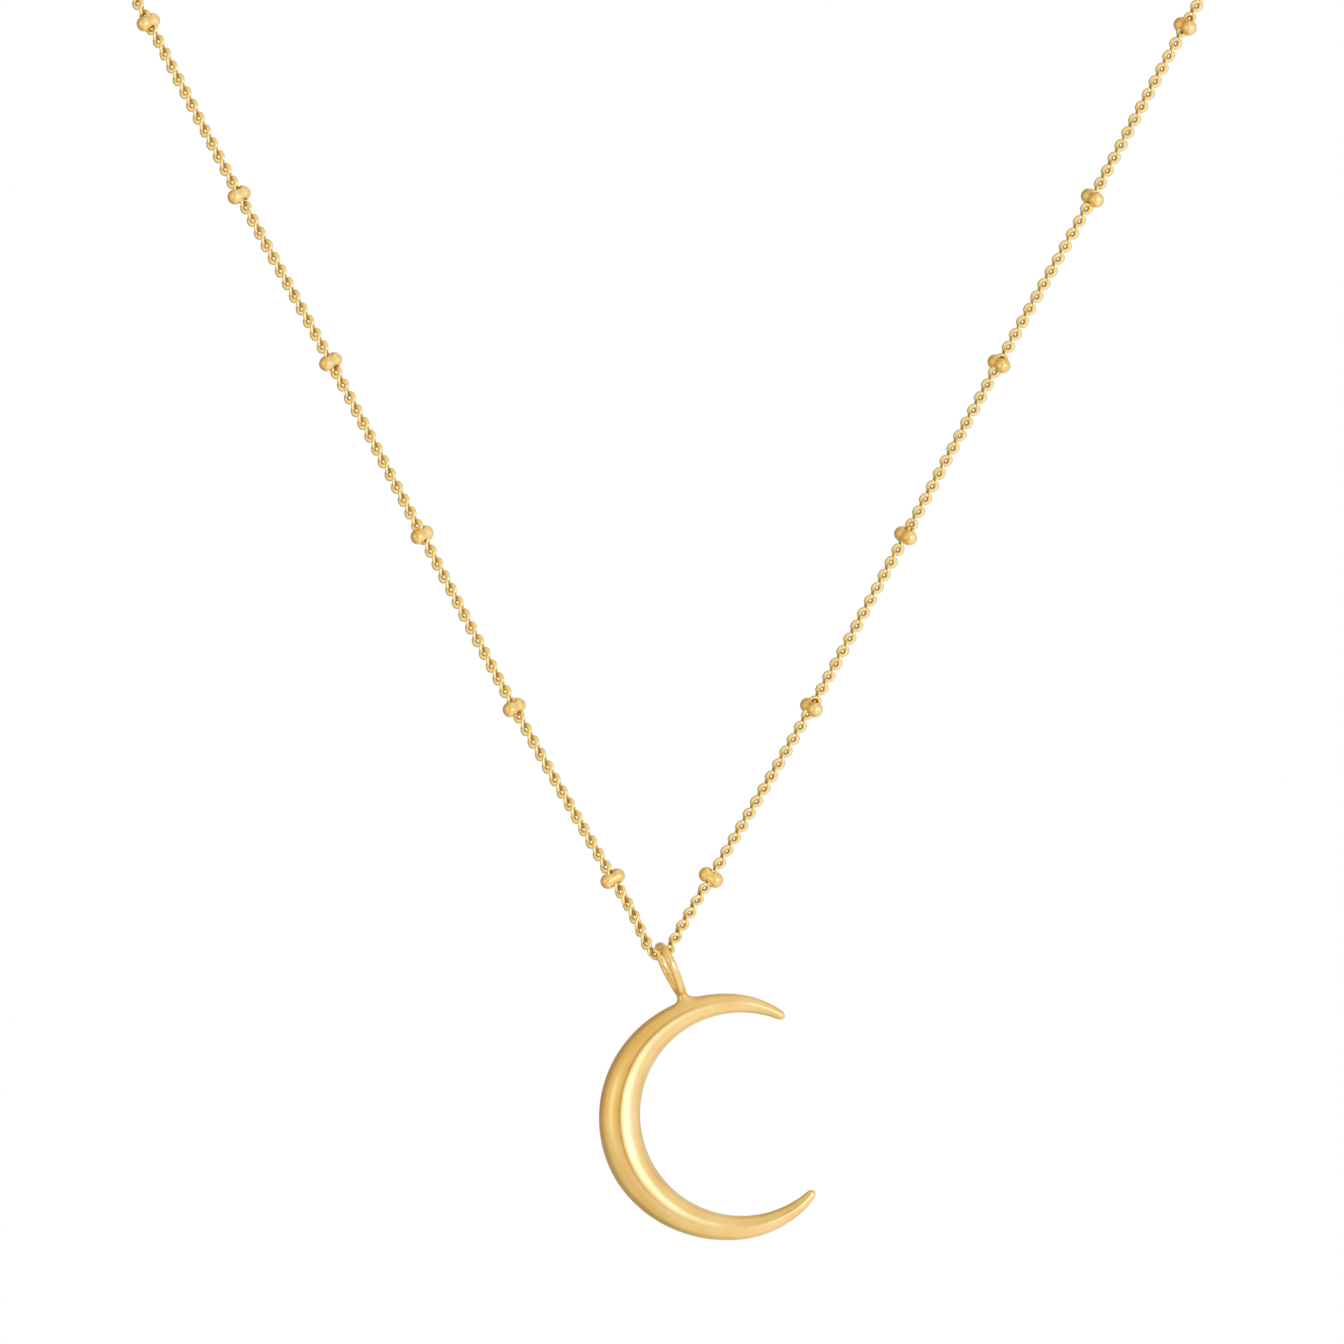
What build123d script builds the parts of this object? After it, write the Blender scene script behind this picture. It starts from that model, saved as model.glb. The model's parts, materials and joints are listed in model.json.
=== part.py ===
from build123d import *
import math
import os

# A crescent moon pendant on a beaded cable chain, in millimetres.
# +Z is up and +Y is towards the wearer's back. The origin is at the nape, in the middle of the clasp.

# Chain and its corner points on the right side, from the nape round the neck and down the front.
# The left side is the same, mirrored. The two meet in a short level run under the bail.
CHAIN_WIDTH = 0.90
SIDE_ROUTE = [
    (22.0, -1.6, -0.4),
    (41.0, -10.0, -1.6),
    (53.5, -25.5, -4.0),
    (58.0, -44.5, -9.0),
    (55.8, -62.0, -19.5),
    (51.3, -72.5, -33.5),
    (45.95, -75.0, -42.3),
    (34.94, -75.0, -63.1),
    (27.39, -75.0, -76.5),
    (12.26, -75.0, -104.9),
    (2.38, -75.0, -121.6),
]
CHAIN_BOTTOM = (-0.18, -75.0, -125.10)  # middle of the run under the bail
BOTTOM_RUN = 1.14
ARC_SHARE = 0.45  # share of the shorter run that an arc takes up at each corner

# Beads, each crimped into two lobes
BEAD_WIDTH = 2.1
BEAD_LENGTH = 1.42
BEAD_SPACING = 16.0
FIRST_BEAD = 7.65  # along the chain, from the middle plane to the nearest bead
NEAR_SPACINGS = [1.012, 1.003, 1.003, 0.975]  # shares of the spacing, from the nearest bead up
BEAD_CLEARANCE = 0.10
CRIMP_RADIUS = 0.45
CRIMP_WALL = 0.14  # left between the groove and the hole
FIRST_BEAD_TURN = 15.0  # degrees about the chain that the outer lobe of the nearest bead comes forward
BEAD_TURN = 40.0  # the same for all the others

# Crescent
CRESCENT_WIDTH = 3.40  # at the back of the curve, where it is widest
CRESCENT_DEPTH = 2.65  # front to back at the same place
HOLLOW_RADIUS = 8.33
HOLLOW_OFFSET = 1.50  # how far the hollow's centre lies from the crescent's, towards the opening
OPENING_TILT = 9.3  # degrees that the opening turns upwards from +X
TIP_ROUNDING = 0.18

# Sections of the crescent: degrees from the middle of the opening, and width and depth as
# shares of the largest ones.
CRESCENT_SECTIONS = [
    (49.5, 0.19, 0.19),
    (58.0, 0.30, 0.29),
    (68.0, 0.40, 0.39),
    (84.0, 0.52, 0.51),
    (100.0, 0.635, 0.63),
    (120.0, 0.77, 0.77),
    (140.0, 0.89, 0.89),
    (160.0, 0.97, 0.97),
    (180.0, 1.00, 1.00),
    (200.0, 0.98, 0.98),
    (220.0, 0.89, 0.89),
    (240.0, 0.765, 0.765),
    (260.0, 0.635, 0.63),
    (276.0, 0.54, 0.53),
    (292.0, 0.41, 0.40),
    (303.0, 0.31, 0.30),
    (312.0, 0.19, 0.19),
]

# Bail, a tall loop of oval wire on the upper horn
BAIL_HEIGHT = 5.19  # from the crescent's edge to the top of the loop
BAIL_DEPTH = 4.06  # across the loop, front to back
BAIL_WIRE_WIDTH = 0.68
BAIL_WIRE_THICKNESS = 0.44
BAIL_FOOT_ANGLE = 99.6  # degrees from the middle of the opening
BAIL_LEAN = 24.8  # degrees to the left of upright
BAIL_TURN = 11.0  # degrees that the loop is turned about its height
BAIL_SIDESTEP = 0.37  # from the middle of the chain's lowest run to the loop's middle, along the hole
SEAT_GAP = 0.03  # between the bail and the chain under it
NECK_RADIUS = 0.46
NECK_HEIGHT = 0.55  # from the crescent's edge to the middle of the loop's wire
LOOP_FOOT_RADIUS = 1.20

# Collar sections: height over the crescent's edge, length along the edge and depth, as
# shares of the neck's height and radius.
COLLAR_SECTIONS = [
    (1.25, 0.50, 0.85),
    (0.80, 0.95, 1.00),
    (0.35, 1.35, 1.15),
    (0.00, 1.95, 1.40),
    (-0.40, 3.00, 1.55),
]

# Clasp and rings at the nape
CLASP_RADIUS = 2.2
CLASP_WIRE = 1.0
CLASP_LOOP_RADIUS = 0.75
CLASP_LOOP_WIRE = 0.56
CLASP_RING_RADIUS = 1.15
CLASP_RING_WIRE = 0.50
END_RING_RADIUS = 1.50
END_RING_WIRE = 0.60
RING_GAP = 0.10


def ring(radius, wire, plane, centre):
    """A round ring of round wire, centred on the nape line."""
    return Pos(centre, 0, 0) * (plane * Torus(radius, wire / 2))


def clasp_parts():
    """The closed clasp with its loop, and the two jump rings, with where the chain starts."""
    loop_centre = -(CLASP_RADIUS + CLASP_WIRE / 2 + CLASP_LOOP_RADIUS)
    big_ring = ring(CLASP_RADIUS, CLASP_WIRE, Plane.XZ, 0)
    clasp = big_ring + ring(CLASP_LOOP_RADIUS, CLASP_LOOP_WIRE, Plane.XZ, loop_centre)
    left_centre = loop_centre - CLASP_RING_RADIUS
    left_start = left_centre - CLASP_RING_RADIUS - CLASP_RING_WIRE / 2 - RING_GAP
    right_inner = CLASP_RADIUS - CLASP_WIRE / 2 - RING_GAP
    right_centre = right_inner + END_RING_RADIUS - END_RING_WIRE / 2
    right_start = right_centre + END_RING_RADIUS + END_RING_WIRE / 2 + RING_GAP
    pieces = {
        "clasp": clasp,
        "clasp_ring": ring(CLASP_RING_RADIUS, CLASP_RING_WIRE, Plane.XY, left_centre),
        "end_ring": ring(END_RING_RADIUS, END_RING_WIRE, Plane.XY, right_centre),
    }
    return pieces, left_start, right_start


def corner_radius(before, corner, after):
    """The radius of an arc that takes ARC_SHARE of the shorter run beside the corner."""
    turn = (corner - before).get_angle(after - corner)
    shorter = min((corner - before).length, (after - corner).length)
    return ARC_SHARE * shorter / math.tan(math.radians(turn / 2))


def side_path(start, side):
    """One side of the chain's line, from its start beside the clasp to under the bail."""
    middle = Vector(*CHAIN_BOTTOM)
    points = [Vector(start, 0, 0)] + [Vector(side * x, y, z) for x, y, z in SIDE_ROUTE]
    points.append(middle + Vector(side * BOTTOM_RUN / 2, 0, 0))
    across = middle - Vector(side * BOTTOM_RUN / 2, 0, 0)
    radii = [corner_radius(*three) for three in zip(points, points[1:], points[2:] + [across])]
    print("radii", [round(r, 2) for r in radii])
    return FilletPolyline(*points, middle, radius=radii).wire()


def tube(path):
    """The chain's outer form: a round tube along its line."""
    start = Plane(origin=path @ 0, z_dir=path % 0)
    made = sweep(start * Circle(CHAIN_WIDTH / 2), path=path)
    expected = math.pi * (CHAIN_WIDTH / 2) ** 2 * path.length
    print("length", round(path.length, 2), "volume share", round(made.volume / expected, 4))
    return made


def bead():
    """An oblate bead with a groove crimped in front and behind, drilled for the chain, round +Z."""
    lobe = BEAD_LENGTH / 2
    hole = CHAIN_WIDTH / 2 + BEAD_CLEARANCE
    side = Pos(BEAD_WIDTH / 2 - lobe, 0) * Circle(lobe)
    outside = Pos(hole + BEAD_WIDTH / 2, 0) * Rectangle(BEAD_WIDTH, BEAD_LENGTH)
    body = revolve(Plane.XZ * (side & outside), Axis.Z)
    groove = Cylinder(CRIMP_RADIUS, 2 * BEAD_LENGTH)
    out = hole + CRIMP_WALL + CRIMP_RADIUS
    return body - Pos(0, -out, 0) * groove - Pos(0, out, 0) * groove


def beads(path, name, side):
    """The beads of one side, from the pendant up as far as the clasp, each square to the chain."""
    made = {}
    along = path.length - FIRST_BEAD + side * CHAIN_BOTTOM[0]
    while along > BEAD_LENGTH:
        tangent = path.tangent_at(along, PositionMode.LENGTH)
        place = Plane(
            origin=path.position_at(along, PositionMode.LENGTH),
            x_dir=tangent.cross(Vector(0, 1, 0)),
            z_dir=tangent,
        )
        turn = BEAD_TURN if made else FIRST_BEAD_TURN
        share = NEAR_SPACINGS[len(made)] if len(made) < len(NEAR_SPACINGS) else 1.0
        made[f"{name}_{len(made) + 1:02d}"] = place * Rot(0, 0, side * turn) * bead()
        along -= share * BEAD_SPACING
    return made


def crescent_point(angle, radius):
    """A point in the crescent's own plane, by degrees from the middle of the opening."""
    turned = math.radians(angle + OPENING_TILT)
    return Vector(radius * math.cos(turned), 0, radius * math.sin(turned))


def hollow_edge(angle):
    """How far the hollow's edge lies from the crescent's centre, at that angle."""
    along = HOLLOW_OFFSET * math.cos(math.radians(angle))
    aside = HOLLOW_OFFSET * math.sin(math.radians(angle))
    return along + math.sqrt(HOLLOW_RADIUS**2 - aside**2)


def width_share(angle):
    """The crescent's width at that angle, as a share of the largest one, read between the sections."""
    for low, high in zip(CRESCENT_SECTIONS, CRESCENT_SECTIONS[1:]):
        if low[0] <= angle <= high[0]:
            return low[1] + (high[1] - low[1]) * (angle - low[0]) / (high[0] - low[0])
    raise ValueError(f"the crescent has no section at {angle} degrees")


def crescent():
    """The horn-like crescent round its own centre, lofted through oval sections."""
    sections = []
    for angle, width, depth in CRESCENT_SECTIONS:
        width *= CRESCENT_WIDTH
        depth *= CRESCENT_DEPTH
        outward = crescent_point(angle, 1)
        centre = outward * (hollow_edge(angle) + width / 2)
        along = outward.cross(Vector(0, 1, 0))
        place = Plane(origin=centre, x_dir=outward, z_dir=along)
        sections.append(place * Ellipse(width / 2, depth / 2))
    horn = loft(sections)
    ends = horn.faces().filter_by(GeomType.PLANE)
    return fillet(ends.edges(), TIP_ROUNDING)


def bail():
    """The bail and its collar round the crescent's centre, and the point where the chain hangs it."""
    lean = math.radians(BAIL_LEAN)
    turn = math.radians(BAIL_TURN)
    upward = Vector(-math.sin(lean), 0, math.cos(lean))
    sideways = Vector(math.cos(lean), 0, math.sin(lean))
    backward = Vector(0, 1, 0) * math.cos(turn) - sideways * math.sin(turn)
    edge = hollow_edge(BAIL_FOOT_ANGLE) + width_share(BAIL_FOOT_ANGLE) * CRESCENT_WIDTH
    foot = crescent_point(BAIL_FOOT_ANGLE, edge)
    place = Plane(origin=foot, x_dir=backward, z_dir=backward.cross(upward))

    top_radius = (BAIL_DEPTH - BAIL_WIRE_THICKNESS) / 2
    top_centre = BAIL_HEIGHT - BAIL_DEPTH / 2
    low_centre = NECK_HEIGHT + LOOP_FOOT_RADIUS
    spread = math.degrees(math.asin((top_radius - LOOP_FOOT_RADIUS) / (top_centre - low_centre)))
    low = CenterArc((0, low_centre), LOOP_FOOT_RADIUS, -90, 90 - spread)
    high = CenterArc((0, top_centre), top_radius, -spread, 90 + spread)
    path = (Curve() + [low, Line(low @ 1, high @ 0), high]).wire()
    section = Plane(origin=path @ 0, x_dir=(0, 0, 1), z_dir=path % 0)
    limb = sweep(section * Ellipse(BAIL_WIRE_WIDTH / 2, BAIL_WIRE_THICKNESS / 2), path=path)
    loop = place * (limb + Rot(0, 180, 0) * limb)

    rings = []
    for height, length_share, depth_share in COLLAR_SECTIONS:
        level = Plane(origin=foot + upward * (height * NECK_HEIGHT), x_dir=sideways, z_dir=upward)
        rings.append(level * Ellipse(length_share * NECK_RADIUS, depth_share * NECK_RADIUS))
    collar = loft(rings)

    seat = BAIL_WIRE_THICKNESS + SEAT_GAP + CHAIN_WIDTH / 2
    hanging_point = foot + upward * (BAIL_HEIGHT - seat) - sideways * BAIL_SIDESTEP
    return loop + collar, hanging_point


def pendant(chain_bottom):
    """The one casting of crescent and bail, hung on the middle of the chain's lowest run."""
    loop, hanging_point = bail()
    return Pos(chain_bottom - hanging_point) * (crescent() + loop)


def main():
    pieces, left_start, right_start = clasp_parts()
    left = side_path(left_start, -1)
    right = side_path(right_start, 1)
    pieces["chain_left"] = tube(left)
    pieces["chain_right"] = tube(right)
    pieces |= beads(left, "bead_left", -1)
    pieces |= beads(right, "bead_right", 1)
    pieces["crescent_pendant"] = pendant(right @ 1)
    os.makedirs("parts", exist_ok=True)
    for name, piece in pieces.items():
        export_step(piece, f"parts/{name}.step")


main()
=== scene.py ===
import json
import math

import bpy
import numpy as np
from mathutils import Matrix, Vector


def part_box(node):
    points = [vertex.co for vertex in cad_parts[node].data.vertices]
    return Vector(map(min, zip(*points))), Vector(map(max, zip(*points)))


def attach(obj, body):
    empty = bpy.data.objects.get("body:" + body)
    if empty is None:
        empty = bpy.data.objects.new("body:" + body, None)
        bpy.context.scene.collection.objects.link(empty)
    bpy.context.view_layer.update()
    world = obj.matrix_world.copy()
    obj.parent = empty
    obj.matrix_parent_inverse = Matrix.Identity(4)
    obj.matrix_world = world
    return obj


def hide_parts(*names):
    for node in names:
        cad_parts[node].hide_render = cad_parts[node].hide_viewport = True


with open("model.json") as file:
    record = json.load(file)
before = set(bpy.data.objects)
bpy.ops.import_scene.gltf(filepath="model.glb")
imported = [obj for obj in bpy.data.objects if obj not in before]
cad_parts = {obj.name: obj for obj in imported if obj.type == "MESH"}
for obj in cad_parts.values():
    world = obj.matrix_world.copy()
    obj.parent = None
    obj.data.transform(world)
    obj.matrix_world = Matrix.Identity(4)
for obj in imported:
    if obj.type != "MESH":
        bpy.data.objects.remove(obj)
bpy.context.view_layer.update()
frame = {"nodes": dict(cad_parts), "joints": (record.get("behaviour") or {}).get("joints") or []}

bl_info = {
    "name": "Crescent moon pendant",
    "version": (1, 0, 0),
    "blender": (4, 5, 0),
    "location": "3D View > Sidebar > Pendant",
    "description": "Builds the gold surfaces of a crescent moon pendant and its beaded chain",
    "category": "Add Mesh",
}

MM = 0.001
FORWARD = np.array([0.0, -1.0, 0.0])  # towards the camera
UP = np.array([0.0, 0.0, 1.0])
FINE_STEP = 0.1 * MM  # between the close points of the chain's line

# Sections of the crescent: degrees from the middle of the opening, and width and depth as
# shares of the largest ones.
CRESCENT_SECTIONS = np.array(
    [
        (49.5, 0.19, 0.19),
        (58.0, 0.30, 0.29),
        (68.0, 0.40, 0.39),
        (84.0, 0.52, 0.51),
        (100.0, 0.635, 0.63),
        (120.0, 0.77, 0.77),
        (140.0, 0.89, 0.89),
        (160.0, 0.97, 0.97),
        (180.0, 1.00, 1.00),
        (200.0, 0.98, 0.98),
        (220.0, 0.89, 0.89),
        (240.0, 0.765, 0.765),
        (260.0, 0.635, 0.63),
        (276.0, 0.54, 0.53),
        (292.0, 0.41, 0.40),
        (303.0, 0.31, 0.30),
        (312.0, 0.19, 0.19),
    ]
)
# Share of its full size that the last ring at each tip keeps
TIP_END = 0.03

# Points on the bail's line: over its top, under its foot, and down each side with both ends
BAIL_POINTS = (57, 13, 12)

# The collar's curves: how strongly they keep to the crescent where they leave it and to the neck where
# they reach it, as shares of the gap between, and the share of the neck's height where they end
COLLAR_LEAVE = 1.1
COLLAR_ARRIVE = 0.9
COLLAR_TOP = 0.8
# Its hidden first ring: shares of the foot's distance from the crescent's centre and of its reach
COLLAR_SUNK = 0.88
COLLAR_DRAWN_IN = 0.6
# The dome that closes the neck: its height as a share of the neck's radius, and where its rings lie
DOME_HEIGHT = 0.8
DOME_RINGS = np.radians([15, 30, 45, 60, 75])

# Points on each bend out of the level run under the bail
BEND_POINTS = 24
# Where the chain's twist changes, in millimetres along each side: inside the first bead and the second
TWIST_CHANGES = (6.5, 8.5, 22.5, 24.5)
# Start of the chance numbers that turn each link a little
CHANCE_START = {"left": 11, "right": 12}
# Points round a link's loop, and round its wire
LINK_GRID = (12, 6)
# How sharply the halves of a link's line part from each other
LINK_PARTING = 6.0
# The link round a clasp's ring: how many wires longer than its reach, and how many times as wide
END_LINK_WIRES = 2.8
END_LINK_WIDTH = 1.15
# How closely a bead follows the larger of its lobes and waist where they meet
BEAD_BLEND = 8

# What the gold reflects, by degrees from the camera towards the right: brightness and tint.
SURROUNDINGS = [
    (-180, 0.42, "grey"),
    (-125, 0.44, "amber"),
    (-100, 0.54, "amber"),
    (-88, 0.68, "amber"),
    (-76, 0.84, "amber"),
    (-56, 0.92, "warm"),
    (-42, 1.14, "pale"),
    (-32, 1.04, "pale"),
    (-22, 0.88, "warm"),
    (-8, 0.86, "deep"),
    (-3, 0.54, "deep"),
    (1, 0.54, "deep"),
    (7, 1.04, "pale"),
    (15, 1.25, "white"),
    (24, 1.60, "white"),
    (36, 1.60, "white"),
    (48, 1.12, "white"),
    (66, 1.05, "cool"),
    (95, 0.95, "pale"),
    (135, 0.78, "pale"),
    (180, 0.42, "grey"),
]
# Red, green and blue of each tint
TINTS = {
    "warm": (1.00, 0.94, 0.70),
    "amber": (1.00, 0.81, 0.62),
    "deep": (1.00, 0.84, 0.50),
    "pale": (1.00, 1.02, 1.05),
    "cool": (1.00, 1.04, 1.28),
    "white": (1.00, 1.22, 1.75),
    "grey": (0.92, 0.95, 1.00),
}
# Light from above and below, on the left and on the right
ABOVE = ((0.80, 0.69, 0.46), (0.93, 0.91, 0.88))
BELOW = ((0.79, 0.73, 0.59), (1.03, 1.02, 1.09))
# Share of it that is left behind the object, on the left and on the right
BEHIND = (0.60, 0.86)
# Parts of a direction, upwards, to the right or to the front, over which one light fades into the next
FADE_ABOVE = (0.12, 0.46)
FADE_BELOW = (-0.03, -0.32)
FADE_RIGHT = (-0.40, 0.20)
FADE_FRONT = (-0.15, 0.40)

# Gold: values of soft noise over which one colour goes over into the other, and smooth into worn
PATCH_NOISE = (0.35, 0.60)
WORN_NOISE = (0.35, 0.65)
# Least and most roughness, as shares of a finish's own, and how much finer it varies than the colour
WORN_ROUGHNESS = (0.85, 1.25)
WORN_FINENESS = 2.3
# Scratches: waves to a metre, and their stretch along X, Y and Z
SCRATCH_SCALE = 9000.0
SCRATCH_STRETCH = (1.0, 1.0, 0.12)
# How far a link's wire faces the link's hole where its painted shade starts, and where that painted shade
# is darkest
HOLLOW_SHADE = (0.50, 1.0)


def length_property(name, description, millimetres):
    """A size of the object, kept in metres."""
    return bpy.props.FloatProperty(
        name=name,
        description=description,
        default=millimetres * MM,
        precision=5,
        unit="LENGTH",
        subtype="DISTANCE",
    )


def angle_property(name, description, degrees):
    """An angle of the object, kept in radians."""
    return bpy.props.FloatProperty(
        name=name,
        description=description,
        default=math.radians(degrees),
        unit="ROTATION",
        subtype="ANGLE",
    )


def share_property(name, description, default):
    """A number from 0 to 1."""
    return bpy.props.FloatProperty(
        name=name, description=description, default=default, min=0.0, max=1.0, subtype="FACTOR"
    )


def colour_property(name, description, default):
    """A linear colour."""
    return bpy.props.FloatVectorProperty(
        name=name, description=description, default=default, size=3, min=0.0, max=1.0, subtype="COLOR"
    )


class PendantSizes(bpy.types.PropertyGroup):
    """The cast pendant: its crescent, bail and collar."""

    width: length_property("Crescent width", "Width at the back of the curve, where it is widest", 3.40)
    depth: length_property("Crescent depth", "Front to back at the same place", 2.65)
    hollow_radius: length_property("Hollow radius", "Radius of the crescent's inner edge", 8.33)
    hollow_offset: length_property("Hollow offset", "From the crescent's centre to the hollow's", 1.50)
    opening_tilt: angle_property("Opening tilt", "How far the opening turns upwards from level", 9.3)
    tip_length: length_property("Tip length", "Length of the rounding at each tip", 0.40)
    bail_height: length_property("Bail height", "From the crescent's edge to the top of the loop", 5.19)
    bail_depth: length_property("Bail depth", "Across the loop, front to back", 4.06)
    wire_width: length_property("Bail wire width", "Width of the loop's oval wire", 0.68)
    wire_thickness: length_property("Bail wire thickness", "Thickness of the loop's oval wire", 0.44)
    foot_angle: angle_property("Bail foot", "Place of the bail, from the middle of the opening", 99.6)
    bail_lean: angle_property("Bail lean", "How far the loop leans to the left", 24.8)
    bail_turn: angle_property("Bail turn", "How far the loop is turned about its height", 11.0)
    sidestep: length_property("Bail sidestep", "From the chain's lowest run to the loop's middle", 0.37)
    seat_gap: length_property("Seat gap", "Between the bail and the chain under it", 0.03)
    chain_width: length_property("Chain width", "Outer width of the chain that the bail hangs on", 0.90)
    neck_radius: length_property("Neck radius", "Half the width of the neck under the loop", 0.46)
    neck_height: length_property("Neck height", "From the crescent's edge to the middle of the wire", 0.55)
    loop_foot_radius: length_property("Loop foot radius", "Radius of the loop's lower bend", 1.20)
    collar_left: length_property("Collar to the left", "Reach of the collar along the crescent", 2.20)
    collar_right: length_property("Collar to the right", "The same on the other side", 1.50)
    collar_turn: angle_property("Collar turn", "Reach of the collar round the crescent", 62.0)


class ChainSizes(bpy.types.PropertyGroup):
    """The cable chain and the beads on it."""

    link_pitch: length_property("Link pitch", "From one link's middle to the next", 0.5926)
    link_length: length_property("Link length", "Along a link, outside", 1.17)
    link_width: length_property("Link width", "Across a link, outside", 1.06)
    link_wire: length_property("Link wire", "Height of a link's oval wire, across its loop", 0.45)
    link_side: length_property("Link side", "Thickness of the same wire, along the loop's hole", 0.26)
    sink: length_property("Link sink", "How far the links seen from their edge lie below midway", 0.08)
    first_link: length_property("First link", "From under the bail to the first link on the right", 0.30)
    end_link: length_property("End link", "Length kept for the link round each ring at the clasp", 0.95)
    twist_low: angle_property("Twist at the bail", "How far links turn from facing the front", -26.0)
    twist_middle: angle_property("Twist above the first bead", "The same, up to the second bead", -18.0)
    twist_high: angle_property("Twist higher up", "The same, above the second bead", -14.0)
    lean_low: angle_property("Lean at the bail", "How far links lean over, as in a twisted chain", 26.0)
    lean_high: angle_property("Lean higher up", "The same, above the first bead", 22.0)
    looseness: angle_property("Looseness", "How unevenly the links turn", 3.0)
    bottom_run: length_property("Bottom run", "Length of the level run under the bail", 1.14)
    bend: length_property("Bend", "Reach of the bends at its ends", 0.55)
    knee_side: length_property("Knee to the side", "Where each side turns, from the middle plane", 2.38)
    knee_rise: length_property("Knee height", "The same, above the level run", 3.50)
    lobe_reach: length_property("Lobe reach", "From a bead's middle to the middle of a lobe", 0.45)
    lobe_radius: length_property("Lobe radius", "Radius of a lobe round that", 0.64)
    waist_radius: length_property("Waist radius", "From a bead's middle to the groove's bottom", 0.59)
    waist_length: length_property("Waist length", "Along the chain, at the groove", 1.08)
    mouth: angle_property("Bead mouth", "How steep a bead's surface reaches, from its middle", 52.0)
    first_turn: angle_property("First bead turn", "How far the first bead's outer lobe comes forward", 15.0)
    bead_turn: angle_property("Bead turn", "The same for all the others", 40.0)


class ClaspSizes(bpy.types.PropertyGroup):
    """The clasp and its rings at the nape."""

    clasp_radius: length_property("Clasp radius", "From the clasp's centre to its wire's", 2.20)
    clasp_wire: length_property("Clasp wire", "Diameter of the clasp's wire", 1.00)
    loop_radius: length_property("Loop radius", "The same for the loop beside it", 0.75)
    loop_wire: length_property("Loop wire", "Diameter of the loop's wire", 0.56)
    left_radius: length_property("Left ring radius", "Radius of the ring on the left", 1.15)
    left_wire: length_property("Left ring wire", "Diameter of its wire", 0.50)
    right_radius: length_property("Right ring radius", "Radius of the ring on the right", 1.50)
    right_wire: length_property("Right ring wire", "Diameter of its wire", 0.60)


class GoldFinish(bpy.types.PropertyGroup):
    """The polished gold."""

    colour: colour_property("Gold", "Colour of the polished gold", (0.93, 0.67, 0.285))
    deep: colour_property("Deep gold", "Colour where the gold is a little darker", (0.89, 0.61, 0.235))
    bead: colour_property("Bead gold", "Colour of the beads", (1.0, 0.75, 0.33))
    bead_deep: colour_property("Deep bead gold", "Colour of their darker patches", (0.95, 0.61, 0.20))
    satin: share_property("Satin roughness", "Roughness of the pendant", 0.13)
    tumbled: share_property("Tumbled roughness", "Roughness of the beads", 0.15)
    bright: share_property("Bright roughness", "Roughness of the links and the clasp", 0.12)
    wire_light: colour_property("Wire gold", "Colour of the links' outer side", (1.0, 0.81, 0.37))
    # The links' painted shade: a dark colour laid on the side of each wire that faces its link's hole
    wire_painted_shade: colour_property("Dark wire gold", "Colour in the hollow side of a link", (0.46, 0.19, 0.03))


class StudioSetting(bpy.types.PropertyGroup):
    """The camera, and the white room round the object."""

    camera_distance: length_property("Camera distance", "From the camera to the pendant", 900.0)
    picture_width: length_property("Picture width", "Width of the view at the pendant", 110.2)
    aim_side: length_property("Aim to the side", "Picture's middle, right of the hinge", 0.78)
    aim_rise: length_property("Aim above", "Picture's middle, above the hinge", 23.19)
    roll: angle_property("Camera roll", "Turn of the camera about its line of view", 0.327)
    floor_drop: length_property("Floor drop", "From the origin down to the floor", 1500.0)
    room: length_property("Room", "From the object to the plain walls", 9000.0)


def sizes_of(name):
    """The scene's settings of that name."""
    return getattr(bpy.context.scene, name)


def smooth_through(x, y, at):
    """A smooth curve through the points (x, y), read at the given x. Its slope at each point is that of
    the parabola through the point and its two neighbours, and a cubic joins each pair of points."""
    x = np.asarray(x, float)
    y = np.asarray(y, float)
    slope = np.gradient(y, x, edge_order=2)
    k = np.clip(np.searchsorted(x, at) - 1, 0, len(x) - 2)
    span = x[k + 1] - x[k]
    t = (at - x[k]) / span
    rise = y[k + 1] - y[k]
    bulge = (1 - t) * (slope[k] * span - rise) - t * (slope[k + 1] * span - rise)
    return y[k] + t * rise + t * (1 - t) * bulge


def unit(vectors):
    """The vectors, each divided by its length."""
    return vectors / np.linalg.norm(vectors, axis=-1, keepdims=True)


def full_turn(count):
    """So many angles at even steps round a whole turn, from 0."""
    return np.linspace(0.0, 2 * math.pi, count, endpoint=False)


def distances_along(points):
    """How far each point lies along the line through them, as a running sum of its steps."""
    steps = np.linalg.norm(np.diff(points, axis=0), axis=1)
    return np.concatenate([[0.0], np.cumsum(steps)])


def grid_faces(rows, sides, closed_rows):
    """Four-sided faces between neighbouring rings of a tube. Its sides join up, and so do its rows
    where closed_rows is true."""
    row = np.arange(rows if closed_rows else rows - 1)[:, None]
    side = np.arange(sides)[None]
    after = (row + 1) % rows
    beside = (side + 1) % sides
    corners = [row * sides + side, row * sides + beside, after * sides + beside, after * sides + side]
    return np.stack(np.broadcast_arrays(*corners), axis=-1).reshape(-1, 4)


def enclosed_volume(points, faces):
    """The signed volume inside flat faces: each fan triangle's corners give a sixth of their
    determinant."""
    first = points[faces[:, 0]]
    volume = 0.0
    for k in range(1, faces.shape[1] - 1):
        volume += np.einsum("ij,ij->", first, np.cross(points[faces[:, k]], points[faces[:, k + 1]])) / 6
    return volume


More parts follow.
